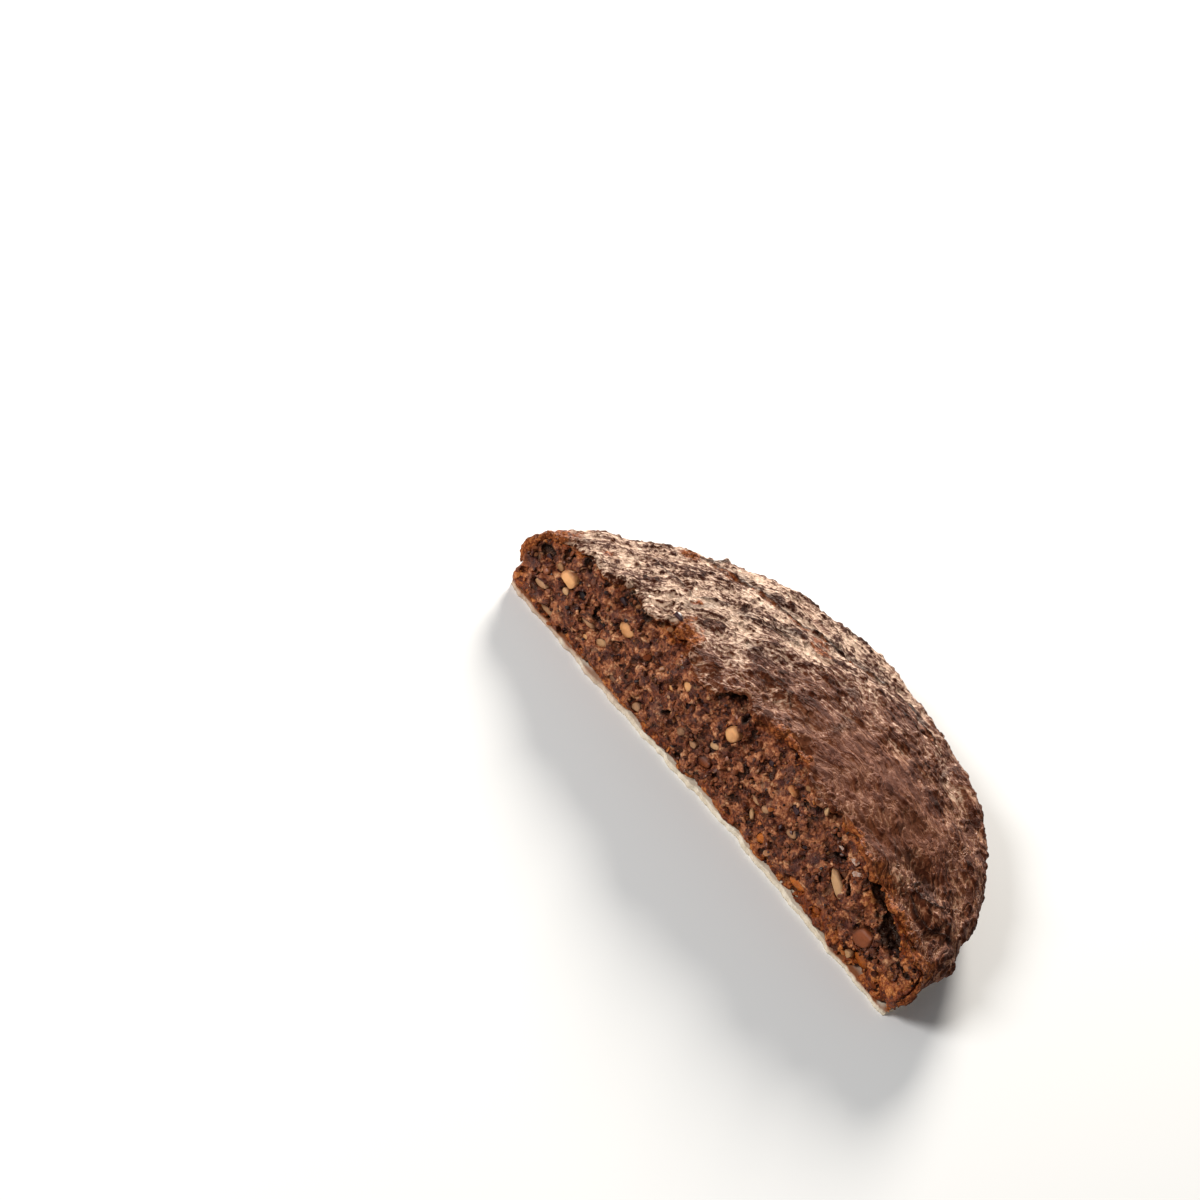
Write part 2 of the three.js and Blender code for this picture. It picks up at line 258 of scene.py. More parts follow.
class Skin:
    """Height of the baked skin over the table, carried on past the break, and the
    broken edge's place. Both are read from the dough's volume, column by column."""

    REACH = 9.0  # how far behind the wafer's torn edge the break can lie
    DROP = 0.55  # how far the surface falls below the skin where the skin has ended

    def __init__(self, volume):
        self.volume = volume
        inside = volume.distance < 0
        levels = volume.axis(2)
        top = inside.shape[2] - 1 - np.argmax(inside[:, :, ::-1], axis=2)
        height = np.where(inside.any(axis=2), levels[top], 0.0)
        ys = volume.axis(1)
        reach = int(np.searchsorted(ys, BREAK_Y + self.REACH))
        edge = np.full(height.shape[0], 0.0)
        carried = height.copy()
        for i in range(height.shape[0]):
            if height[i, reach] <= 0:
                edge[i] = BREAK_Y
                continue
            j = reach
            skin = height[i, j]
            while j > 0 and height[i, j - 1] > skin - self.DROP:
                j -= 1
                skin += 0.25 * (height[i, j] - skin)
            ends = min(j + 2, reach)
            edge[i] = ys[ends]
            carried[i, :ends] = height[i, ends]
        self.edge = edge
        self.height = softened(carried, 2, (0, 1))
        self.xs = volume.axis(0)
        self.ys = ys

    def height_at(self, points):
        v = self.volume
        x = np.clip(points[:, 0] / v.voxel - v.low[0], 0, len(self.xs) - 1.01)
        y = np.clip(points[:, 1] / v.voxel - v.low[1], 0, len(self.ys) - 1.01)
        i, j = x.astype(int), y.astype(int)
        u, w = x - i, y - j
        h = self.height
        return (h[i, j] * (1 - u) + h[i + 1, j] * u) * (1 - w) + (
            h[i, j + 1] * (1 - u) + h[i + 1, j + 1] * u
        ) * w

    def depth(self, points):
        """How far the points lie below the skin's surface."""
        return self.height_at(points) - points[:, 2]

    def edge_at(self, points):
        return np.interp(points[:, 0], self.xs, self.edge)

    def behind(self, points):
        """How far the points lie behind the broken edge."""
        return points[:, 1] - self.edge_at(points)

    def columns_behind(self, low, high):
        """Share from 0 to 1 of each column, by how far it lies behind the broken edge."""
        return smoothstep(low, high, self.ys[None, :] - self.edge[:, None]).astype(np.float32)


# ---- nut pieces and fruit in the broken face ----

# Place along the break and over the table, size along and across, and turn, as in the
# solid, and what each piece is.
NUTS = [
    (-37.0, 8.4, 3.5, 2.9, 0.1, "nut"),
    (-24.4, 10.1, 3.2, 2.7, 0.3, "nut"),
    (-0.4, 12.0, 2.9, 2.6, 1.3, "nut"),
    (26.7, 8.0, 5.3, 2.2, -0.61, "almond"),
    (35.3, 6.4, 4.0, 3.2, 1.2, "brown"),
    (-40.3, 4.8, 3.0, 1.6, 0.2, "tan"),
    (-30.1, 6.2, 2.8, 1.0, 0.1, "tan"),
    (-26.4, 5.5, 2.2, 1.5, 0.7, "almond"),
    (-37.3, 1.9, 3.0, 1.5, 0.1, "tan"),
    (-15.3, 2.8, 1.8, 1.7, 0.1, "tan"),
    (-10.3, 12.8, 1.8, 1.5, 1.8, "nut"),
    (-7.2, 6.0, 1.9, 1.3, 0.8, "tan"),
    (-1.8, 8.1, 2.0, 1.4, 0.6, "almond"),
    (12.4, 13.2, 1.9, 1.4, -0.2, "nut"),
    (13.0, 3.6, 2.1, 1.6, 1.5, "peel"),
    (16.4, 8.2, 2.1, 1.5, 0.4, "tan"),
]
# Pieces that lie flush in the face, so the solid leaves them out.
FLUSH = [
    (36.6, 2.6, 3.2, 2.3, -0.3, "peel"),
    (21.6, 2.7, 3.4, 1.7, 0.1, "peel"),
    (-12.6, 1.8, 1.7, 1.2, 0.2, "peel"),
    (26.6, 2.4, 1.8, 1.3, 0.3, "peel"),
    (34.7, 2.0, 1.7, 1.4, 0.8, "almond"),
    (-40.2, 7.6, 1.5, 1.2, -0.4, "almond"),
    (-36.4, 6.6, 1.4, 1.2, 0.0, "almond"),
    (-4.6, 5.6, 1.7, 1.1, 0.2, "tan"),
    (-1.4, 5.0, 2.6, 1.7, 0.1, "brown"),
    (-21.3, 3.0, 1.8, 0.9, 0.0, "tan"),
    (-12.6, 9.8, 1.5, 0.8, 0.2, "nut"),
    (10.7, 7.3, 1.7, 1.2, 0.5, "tan"),
    (9.3, 4.9, 2.0, 0.8, -1.0, "almond"),
    (8.4, 6.7, 2.2, 0.9, 0.0, "tan"),
    (-29.4, 3.8, 1.2, 0.9, 0.3, "nut"),
    (14.0, 15.2, 1.3, 0.9, 0.4, "almond"),
    (18.5, 15.4, 1.7, 0.8, -1.1, "almond"),
    (43.2, 8.6, 1.3, 1.1, 0.2, "nut"),
    (-20.5, 15.6, 2.1, 1.5, 0.1, "fruit"),
    (-28.0, 12.1, 1.6, 1.5, 0.3, "fruit"),
    (2.2, 15.9, 2.1, 1.4, 0.2, "fruit"),
    (-7.3, 12.4, 1.5, 1.1, 0.2, "fruit"),
    (-8.4, 10.1, 1.5, 1.1, -0.4, "fruit"),
    (6.4, 12.2, 1.7, 1.2, 0.1, "fruit"),
    (-17.2, 10.5, 1.8, 1.2, 0.3, "fruit"),
    (-33.8, 8.1, 1.7, 1.3, 0.2, "fruit"),
    (14.7, 11.6, 1.9, 1.2, -0.2, "fruit"),
    (-17.0, 5.8, 1.6, 1.1, 0.6, "fruit"),
    (19.1, 8.3, 1.2, 0.9, 0.5, "fruit"),
    (-42.8, 7.2, 1.5, 1.1, 0.4, "fruit"),
    (28.2, 11.9, 2.7, 2.2, 0.9, "sugar"),
    (26.2, 12.7, 2.3, 1.7, 0.2, "sugar"),
    (23.2, 12.3, 1.5, 0.9, 0.1, "sugar"),
    (-41.6, 3.1, 1.0, 0.8, 0.5, "sugar"),
]
# Hollows torn into the crumb, painted dark inside as shade: place, half sizes along, across and in,
# and turn.
HOLLOWS = [
    (-25.7, 13.8, 2.7, 0.9, 2.6, 0.05),
    (-36.3, 11.3, 1.4, 0.45, 1.6, -0.1),
    (-40.1, 9.2, 1.2, 0.6, 1.5, 0.3),
    (-43.6, 8.0, 1.2, 0.7, 1.3, 0.2),
    (-29.5, 7.5, 2.1, 0.35, 1.3, 0.0),
    (-5.6, 2.1, 0.9, 0.5, 1.1, 0.4),
    (-3.7, 16.3, 1.9, 0.8, 2.4, 0.5),
    (-1.2, 15.8, 1.7, 0.65, 2.2, -0.7),
    (24.1, 10.8, 1.2, 0.45, 1.3, 0.2),
    (28.6, 9.4, 1.3, 0.4, 1.5, -0.6),
    (31.4, 12.1, 2.2, 0.9, 2.8, -0.35),
    (34.0, 11.0, 1.6, 0.7, 2.6, -0.3),
    (36.9, 9.7, 3.2, 1.3, 3.6, -0.35),
    (39.9, 8.5, 1.3, 0.6, 2.4, -0.2),
    (42.6, 7.9, 1.5, 0.45, 2.0, -0.2),
    (15.6, 13.6, 1.0, 0.4, 1.1, 0.1),
    (21.6, 13.4, 0.9, 0.35, 1.1, -0.4),
    (-10.6, 6.9, 0.8, 0.4, 0.9, 0.5),
    (4.6, 9.4, 0.8, 0.35, 0.9, -0.3),
    (38.0, 4.7, 0.9, 0.4, 1.0, 0.6),
]
NUT_GAP = 0.05  # dark gap between a piece and the crumb round it
RIM_CRUMB = 0.2  # how far crumb reaches over the rim of a piece here and there
FOOT_KEPT = 2.0  # how much less is cleared at the foot, so that the wafer stays covered
NUT_CLEAR = 0.35  # how fast the clearing in front of a piece widens
# Share of a flush piece's width that stands out.
FLUSH_SHOWS = {
    "nut": 0.16,
    "almond": 0.16,
    "tan": 0.12,
    "brown": 0.14,
    "peel": 0.06,
    "fruit": -0.12,
    "sugar": 0.5,
}
LOOK_FROM = 20  # how far in front of the wafer's torn edge a look at the face starts
LOOK_STEP = 0.2
DOUGH_TREE = BVHTree.FromPolygons(DOUGH_POINTS.tolist(), DOUGH_TRIANGLES.tolist())


def face_at(x, z):
    """Point of the solid's broken face, seen along +Y. Over the face it looks lower."""
    found = None
    while found is None:
        start = Vector((CENTRE_X + x, BREAK_Y - LOOK_FROM, z))
        found = DOUGH_TREE.ray_cast(start, Vector((0, 1, 0)))[0]
        z -= LOOK_STEP
    return np.array(found)


def piece_centre(piece, shows):
    """Middle of a piece, of whose width a share stands out of the solid's face."""
    x, z, _, wide, _, _ = piece
    return face_at(x, z) + np.array([0, wide * (0.5 - shows), 0])


# A nut lies behind the bump that it makes in the solid.
PIECES = [(piece, piece_centre(piece, 0)) for piece in NUTS]
PIECES += [(piece, piece_centre(piece, FLUSH_SHOWS[piece[5]])) for piece in FLUSH]
HOLLOW_PLACES = [face_at(x, z) for x, z, *_ in HOLLOWS]


def rotated(x, y, turn):
    """The parts of an offset along and across a direction turned by an angle."""
    return x * math.cos(turn) + y * math.sin(turn), y * math.cos(turn) - x * math.sin(turn)


def piece_offsets(away, turn):
    """Offsets from a piece's middle, as along, in and across it."""
    x, y, z = away.T
    along, across = rotated(x, z, turn)
    return along, y, across


def hollow_share(points):
    """0 in the middle of a hollow, 1 at its wall and more outside."""
    share = np.full(len(points), FAR, np.float32)
    for (_, _, long, high, deep, turn), place in zip(HOLLOWS, HOLLOW_PLACES):
        near = np.flatnonzero(np.max(np.abs(points - place), axis=1) < 2 * max(long, deep))
        along, inward, across = piece_offsets(points[near] - place, turn)
        ragged = 0.9 * (noise(points[near], 0.9, 12) - 0.5)
        own = np.hypot(np.hypot(along / long, across / high), inward / deep) + ragged
        share[near] = np.minimum(share[near], own)
    return share


def carved(points, distance):
    """Clears the crumb from the hollows, and from each piece and the space before it."""
    share = hollow_share(points)
    inside = share < 1.5
    distance[inside] = np.maximum(distance[inside], 0.6 * (1 - share[inside]))
    for (_, _, long, wide, turn, _), centre in PIECES:
        near = np.flatnonzero(np.max(np.abs(points - centre), axis=1) < long / 2 + 1)
        along, inward, across = piece_offsets(points[near] - centre, turn)
        behind = np.maximum(inward, 0)
        wider = 1 + NUT_CLEAR * np.maximum(-inward - 0.2 * wide, 0)
        share = np.hypot(np.hypot(along / long, across / wide) / wider, behind / wide)
        piece = (2 * share - 1) * wide / 2
        over = RIM_CRUMB * smoothstep(0.5, 0.8, noise(points[near], 1.1, 13))
        over += FOOT_KEPT * smoothstep(WAFER_TOP + 1.0, WAFER_TOP + 0.3, points[near, 2])
        distance[near] = np.maximum(distance[near], NUT_GAP - over - piece)
    return distance


# ---- dough: a crumb body under a skin ----

SKIN_VOXEL = 0.24
SKIN_BLUR = 12  # passes
CRUMB_VOXEL = 0.19
BAND = 2.2  # the volumes tell distances up to this far from the surface
SKIN_THICK = 0.6
SKIN_INSIDE = 44.6  # radius at which the side's skin begins
TIP_INSIDE = 45.5  # the same near the two tips
CRUMB_DEEP = 4.5  # how far the separate crumb reaches in behind the skin's edge
SEAM = 0.03  # gap between the skin and the crumb


def side_start(points):
    """Radius at which the side's skin begins."""
    at_tip = smoothstep(9.0, 3.0, points[:, 1] - BREAK_Y)
    return SKIN_INSIDE + (TIP_INSIDE - SKIN_INSIDE) * at_tip


def crumb_region(points, skin):
    """Signed distance to the space of the crumb: under the skin, within the side's skin,
    and not far behind the broken edge."""
    thick = SKIN_THICK * (0.5 + 1.0 * noise(points, 2.2, 1))
    under = points[:, 2] - (skin.height_at(points) - thick)
    within = disc_radius(points) - side_start(points) - 1.4 * (noise(points, 1.8, 2) - 0.5)
    near = points[:, 1] - (skin.edge_at(points) + CRUMB_DEEP)
    return np.maximum(np.maximum(under, within), near)


def coarse_crumb_relief(points, skin):
    """How far the broken crumb stands out, in clumps."""
    depth = skin.depth(points)
    relief = 0.8 * (noise(points, 4.2, 3) - 0.55)
    undercut = smoothstep(0.55, 0.75, noise(points, 3.6, 7))
    relief -= 1.2 * undercut * smoothstep(2.2, 1.1, depth) * smoothstep(0.2, 0.6, depth)
    return relief


GRAIN_SIZES = ((2.2, 4, 0.42), (1.1, 5, 0.34))  # size, seed and height of two sizes of crumb
GRAIN_MISSING = 0.13
FINE_REACH = 0.8  # the grains move the surface less far than this


def fine_crumb_relief(points):
    """How far the single grains of the crumb stand out."""
    relief = np.zeros(len(points), np.float32)
    for size, seed, height in GRAIN_SIZES:
        relief += height * (grains(points, size, seed, GRAIN_MISSING) - 0.4)
    return relief


def skin_edge_relief(points):
    """Ragged line of the skin where it broke."""
    relief = 0.3 * (grains(points, 0.8, 8) - 0.4) + 0.5 * (ridges(points, 1.7, 10) - 0.6)
    return relief + 1.1 * (noise(points, 2.6, 9) - 0.5)


def skin_volume():
    """The dough's volume without the space of the crumb, and the skin's height map."""
    body = Volume(SKIN_VOXEL, BAND)
    skin = Skin(body)
    body.blur(SKIN_BLUR, skin.columns_behind(0.5, 3.0))
    foot = (WAFER_TOP - body.axis(2))[None, None, :]
    body.distance = np.maximum(body.distance, foot)
    near = body.distance < BAND
    points = body.points(near)
    distance = body.distance[near]
    at_side = smoothstep(-1.2, -0.4, disc_radius(points) - side_start(points))
    front = smoothstep(2.5, 0.5, skin.behind(points))
    front *= np.maximum(smoothstep(1.6, 0.9, skin.depth(points)), at_side)
    torn = (front > 0) & (np.abs(distance) < 1.2)
    distance[torn] -= front[torn] * skin_edge_relief(points[torn])
    body.distance[near] = np.maximum(distance, SEAM - crumb_region(points, skin))
    return body, skin


def crumb_volume(skin):
    """The space of the crumb, with its clumps, its grains and the places of the pieces."""
    crumb = Volume(CRUMB_VOXEL, BAND, y_limit=BREAK_Y + Skin.REACH + CRUMB_DEEP)
    filled = crumb.distance < BAND
    points = crumb.points(filled)
    distance = crumb.distance[filled]
    region = crumb_region(points, skin)
    foot = smoothstep(WAFER_TOP - 0.1, WAFER_TOP + 0.5, points[:, 2])
    broken = (np.abs(distance) < BAND) & (region < 1.0)
    distance[broken] -= foot[broken] * coarse_crumb_relief(points[broken], skin)
    broken = (np.abs(distance) < FINE_REACH) & (region < 1.0)
    distance[broken] -= foot[broken] * fine_crumb_relief(points[broken])
    distance = carved(points, distance)
    crumb.distance[filled] = np.maximum(distance, region)
    return crumb


# ---- mesh making ----


def kept_in_box(points):
    """The points, with any that stand out of the solids' box moved back to its sides."""
    low, high = (np.array(corner) / MM for corner in cad_box)
    return np.clip(points, low, high)


def make_object(name, points, faces, material, smooth=True):
    """A mesh object from points in millimetres."""
    mesh = bpy.data.meshes.new(name)
    mesh.vertices.add(len(points))
    mesh.vertices.foreach_set("co", (points * MM).astype(np.float32).ravel())
    mesh.loops.add(faces.size)
    mesh.loops.foreach_set("vertex_index", faces.astype(np.int32).ravel())
    sides = faces.shape[1]
    mesh.polygons.add(len(faces))
    mesh.polygons.foreach_set("loop_start", np.arange(0, faces.size, sides, dtype=np.int32))
    mesh.update(calc_edges=True)
    mesh.validate()
    mesh.polygons.foreach_set("use_smooth", np.full(len(mesh.polygons), smooth))
    obj = bpy.data.objects.new(name, mesh)
    bpy.context.scene.collection.objects.link(obj)
    obj.data.materials.append(material)
    return obj


def thin_out(obj, most):
    """Joins the smallest triangles until no more than a number are left."""
    count = len(obj.data.polygons)
    if count <= most:
        return
    modifier = obj.modifiers.new("thin", "DECIMATE")
    modifier.ratio = most / count
    graph = bpy.context.evaluated_depsgraph_get()
    thinned = bpy.data.meshes.new_from_object(obj.evaluated_get(graph))
    obj.modifiers.clear()
    old = obj.data
    obj.data = thinned
    bpy.data.meshes.remove(old)


def raise_surface(obj, points, height):
    """Moves the corner points out along their normals, but not out of the solids' box."""
    raised = kept_in_box(points + vertex_values(obj, "normal") * height[:, None])
    obj.data.vertices.foreach_set("co", (raised * MM).astype(np.float32).ravel())
    obj.data.update()


def add_attributes(obj, **attributes):
    """Gives each corner point numbers, or places where the values are places."""
    for name, values in attributes.items():
        kind, key = ("FLOAT_VECTOR", "vector") if values.ndim == 2 else ("FLOAT", "value")
        attribute = obj.data.attributes.new(name, kind, "POINT")
        attribute.data.foreach_set(key, values.astype(np.float32).ravel())


# ---- materials ----


class Shader:
    """A small helper that adds and joins shader nodes. What goes into a socket is a number,
    a colour or another node's output."""

    def __init__(self, name):
        self.material = bpy.data.materials.new(name)
        self.material.use_nodes = True
        self.tree = self.material.node_tree
        self.surface = self.tree.nodes["Principled BSDF"]
        self.place = self.node("ShaderNodeTexCoord").outputs["Object"]

    def fill(self, node, sockets):
        for key, value in sockets.items():
            if hasattr(value, "is_output"):
                self.tree.links.new(value, node.inputs[key])
            else:
                node.inputs[key].default_value = value

    def node(self, kind, sockets=None, **settings):
        made = self.tree.nodes.new(kind)
        for key, value in settings.items():
            setattr(made, key, value)
        self.fill(made, sockets or {})
        return made

    def noise(self, size_mm, detail=3.0, rough=0.55, distortion=0.0, place=None):
        sockets = {"Vector": place or self.place, "Scale": 1 / (size_mm * MM)}
        sockets |= {"Detail": detail, "Roughness": rough, "Distortion": distortion}
        return self.node("ShaderNodeTexNoise", sockets).outputs["Fac"]

    def cells(self, size_mm):
        """A random number for each of many small cells."""
        sockets = {"Vector": self.place, "Scale": 1 / (size_mm * MM)}
        colour = self.node("ShaderNodeTexVoronoi", sockets).outputs["Color"]
        return self.node("ShaderNodeSeparateColor", {"Color": colour}).outputs[0]

    def ramp(self, value, stops):
        """A colour looked up between stops, each a position and a colour on screen."""
        made = self.node("ShaderNodeValToRGB", {"Fac": value})
        elements = made.color_ramp.elements
        while len(elements) < len(stops):
            elements.new(0.5)
        for element, (position, colour) in zip(elements, stops):
            element.position = position
            element.color = (*shade(*colour), 1)
        return made.outputs["Color"]

    def span(self, value, low, high, to_low=0.0, to_high=1.0):
        sockets = {"Value": value, "From Min": low, "From Max": high}
        sockets |= {"To Min": to_low, "To Max": to_high}
        return self.node("ShaderNodeMapRange", sockets).outputs["Result"]

    def mix(self, share, first, second, mode="MIX"):
        """A colour part of the way from the first to the second."""
        colours = [c if hasattr(c, "is_output") else (*c, 1) for c in (first, second)]
        sockets = {"Factor": share, 6: colours[0], 7: colours[1]}
        return self.node("ShaderNodeMix", sockets, data_type="RGBA", blend_type=mode).outputs[2]

    def math(self, operation, *values):
        sockets = dict(enumerate(values))
        return self.node("ShaderNodeMath", sockets, operation=operation).outputs[0]

    def between(self, share, first, second):
        """A number part of the way from the first to the second."""
        sockets = {0: share, 2: first, 3: second}
        return self.node("ShaderNodeMix", sockets, data_type="FLOAT").outputs[0]

    def attribute(self, name, output="Fac"):
        return self.node("ShaderNodeAttribute", attribute_name=name).outputs[output]

    def bump(self, height, distance_mm, strength=1.0, under=None):
        sockets = {"Height": height, "Distance": distance_mm * MM, "Strength": strength}
        if under is not None:
            sockets["Normal"] = under
        return self.node("ShaderNodeBump", sockets).outputs["Normal"]

    def finish(self, **sockets):
        """Fills the surface's own sockets. Their names have _ for each space."""
        self.fill(self.surface, {key.replace("_", " "): value for key, value in sockets.items()})
        return self.material


def shade(red, green, blue):
    """A colour given as it looks on screen, 0 to 255, as linear light."""
    return tuple(
        c / 12.92 if c <= 0.04045 else ((c + 0.055) / 1.055) ** 2.4
        for c in (red / 255, green / 255, blue / 255)
    )


def skin_material():
    """Dark in the pits, brown between, pale on the crests, and orange where it is torn. The dark pits
    and pale crests are partly the skin's own tone and partly painted shade and painted highlight, the
    cream on the crests is painted sheen where the light falls, and the darkening in the crevices is
    painted shade.
    """
    s = Shader("baked_skin")
    frost = s.attribute("frost")
    wrinkles = s.attribute("wrinkles", "Vector")
    # Thin wrinkle lines and grit both bump the surface and set its tone; the pale wrinkle lines are
    # partly painted highlight.
    lines = s.noise(1.35 / MM, detail=2.5, rough=0.55, distortion=0.3, place=wrinkles)
    lines = s.math("ABSOLUTE", s.math("SUBTRACT", lines, 0.5))
    lines = s.span(lines, 0.0, 0.08, 1.0, 0.0)
    specks = s.math("ADD", s.noise(0.58, detail=4), s.noise(0.52 / MM, detail=4, place=wrinkles))
    specks = s.span(specks, 0.85, 1.15)
    grit = s.span(s.noise(0.36, detail=3, rough=0.6), 0.38, 0.62)
    fine = s.between(0.25, lines, grit)
    fine = s.between(s.math("MULTIPLY", frost, 0.65), fine, specks)
    fine = s.between(s.attribute("calm"), fine, 0.5)
    # The brown ramp follows the crests: partly the skin's own tone, partly painted shade in the pits
    # and painted highlight on the crests.
    level = s.math("MULTIPLY", s.attribute("crest"), 0.5)
    level = s.math("ADD", level, s.math("MULTIPLY", fine, 0.55))
    browns = [(0.1, (42, 14, 5)), (0.35, (80, 37, 20)), (0.6, (127, 75, 49)), (0.95, (206, 155, 121))]
    base = s.ramp(level, browns)
    patches = s.span(s.noise(5.0, detail=4), 0.38, 0.64, 0.0, 0.5)
    base = s.mix(patches, base, shade(208, 158, 136), mode="MULTIPLY")
    # Painted sheen: cream painted on the crests where the light falls, most at the left and round the
    # back.
    pale = s.math("ADD", level, s.math("MULTIPLY", frost, 0.55))
    pale = s.math("MULTIPLY", s.span(pale, 0.92, 1.3), s.span(frost, 0.0, 1.0, 0.55, 0.92))
    base = s.mix(pale, base, shade(237, 203, 175))
    # Dark places, partly painted shade along creases and folds, and painted shade in the crevices.
    base = s.mix(s.attribute("dark"), base, shade(40, 16, 10))
    oranges = [(0.36, (58, 22, 10)), (0.5, (134, 67, 33)), (0.66, (204, 126, 70))]
    raw = s.ramp(s.noise(0.6, detail=5, rough=0.75), oranges)
    base = s.mix(s.attribute("raw"), base, raw)
    normal = s.bump(fine, 0.28, 1.0)
    normal = s.bump(s.noise(0.2, detail=2), 0.04, 0.8, under=normal)
    rough = s.span(level, 0.25, 0.75, 0.8, 0.42)
    rough = s.math("MULTIPLY_ADD", s.attribute("calm"), 0.2, rough)
    return s.finish(
        Base_Color=base,
        Roughness=rough,
        Normal=normal,
        Specular_IOR_Level=0.14,
        Specular_Tint=(1, 0.78, 0.6, 1),
    )


def crumb_material():
    """Each grain has its own brown. Some stretches are purplish, some orange. Between the grains,
    where a grain is missing and in the hollows the crumb is painted dark as shade.
    """
    s = Shader("broken_crumb")
    fine = s.noise(0.4, detail=5, rough=0.65)
    level = s.math("MULTIPLY", s.attribute("grain"), 0.45)
    level = s.math("ADD", level, s.math("MULTIPLY", s.cells(0.35), 0.3))
    level = s.math("ADD", level, s.span(fine, 0.3, 0.7, 0.0, 0.3))
    dark_browns = [(0.22, (54, 17, 7)), (0.4, (98, 43, 23)), (0.56, (142, 78, 48))]
    light_browns = [(0.74, (186, 116, 76)), (0.9, (232, 176, 130))]
    base = s.ramp(level, dark_browns + light_browns)
    cool = s.span(s.noise(2.4, detail=4, rough=0.65), 0.5, 0.6, 0.0, 0.7)
    base = s.mix(cool, base, shade(66, 33, 34))
    oranges = [(0.25, (64, 18, 3)), (0.55, (134, 56, 13)), (0.85, (208, 124, 56))]
    base = s.mix(s.attribute("warm"), base, s.ramp(level, oranges))
    # Painted shade between the grains, in missing grains and in the hollows.
    base = s.mix(s.attribute("deep"), base, shade(20, 6, 3))
    normal = s.bump(fine, 0.26, 1.0)
    normal = s.bump(s.noise(0.22, detail=2), 0.09, 1.0, under=normal)
    rough = s.span(s.noise(0.4), 0.38, 0.62, 0.14, 0.6)
    return s.finish(
        Base_Color=base,
        Roughness=rough,
        Normal=normal,
        Specular_IOR_Level=0.4,
        Specular_Tint=(1, 0.8, 0.66, 1),
    )


def wafer_material():
    """Pale and matt, and stained brown by the dough."""
    s = Shader("wafer")
    creams = [(0.3, (204, 186, 160)), (0.55, (228, 214, 192)), (0.75, (240, 232, 216))]
    base = s.ramp(s.noise(1.2, detail=5, rough=0.7), creams)
    base = s.mix(s.attribute("stain"), base, shade(146, 78, 28))
    normal = s.bump(s.noise(0.4, detail=3), 0.08, 0.7)
    return s.finish(Base_Color=base, Roughness=0.85, Normal=normal)


def piece_material(name, dark, light, rough, glow):
    """For nut pieces and the like: each has its own tone, and light seeps in a little."""
    s = Shader(name)
    island = s.node("ShaderNodeNewGeometry").outputs["Random Per Island"]
    mottle = s.noise(1.6, detail=5, rough=0.6)
    tone = s.math("ADD", s.math("MULTIPLY", island, 0.45), s.math("MULTIPLY", mottle, 0.8))
    base = s.ramp(tone, [(0.4, dark), (0.82, light)])
    rim = s.math("MULTIPLY_ADD", s.noise(1.2, detail=5, rough=0.7), 0.8, s.attribute("rim"))
    rim = s.span(rim, 1.05, 1.5, 0.0, 0.8)
    base = s.mix(rim, base, shade(0.66 * dark[0], 0.5 * dark[1], 0.4 * dark[2]))
    normal = s.bump(s.noise(0.3, detail=4), 0.06, 0.8)
    return s.finish(
        Base_Color=base,
        Roughness=rough,
        Normal=normal,
        Specular_IOR_Level=0.3,
        Subsurface_Weight=glow,
        Subsurface_Radius=(1.0, 0.5, 0.25),
        Subsurface_Scale=1 * MM,
    )


def sugar_material():
    """Half clear, half cloudy."""
    s = Shader("clear_sugar")
    cloudy = s.ramp(s.noise(0.5, detail=4), [(0.35, (214, 160, 130)), (0.65, (255, 238, 224))])
    return s.finish(Base_Color=cloudy, Roughness=0.12, Transmission_Weight=0.5, IOR=1.45)


# ---- the baked skin's relief ----

WRINKLE_CENTRE = (14.0, -15.0)  # the wrinkles run round this point
CALM = (20.0, 14.0, 17.0, 12.0)  # middle and half sizes of the smooth stretch
FOLDS = (37.5, 11.0, 9.0, 7.0)  # middle and half sizes of the folded stretch at the right


def oval(points, stretch):
    """1 in the middle of a stretch and 0 outside it."""
    x, y = disc_place(points)
    away = np.hypot((x - stretch[0]) / stretch[2], (y - stretch[1]) / stretch[3])
    return smoothstep(1.25, 0.6, away)


def wrinkle_place(points, stretch):
    """Places told by the distance from the wrinkles' centre and the way round it, so that
    what is even in them is drawn out along the wrinkles, which waver. More stretch draws
    it out less."""
    x, y = disc_place(points)
    across = np.hypot(x - WRINKLE_CENTRE[0], y - WRINKLE_CENTRE[1])
    angle = np.arctan2(y - WRINKLE_CENTRE[1], x - WRINKLE_CENTRE[0])
    even = np.stack([across, stretch * angle, 0.8 * points[:, 2]], axis=1)
    warp = np.stack([noise(points, 4.5, seed) - 0.5 for seed in (19, 20, 21)], axis=1)
    waver = np.stack([noise(points, 1.7, seed) - 0.5 for seed in (37, 38, 39)], axis=1)
    return even + 2.0 * warp + 0.8 * waver


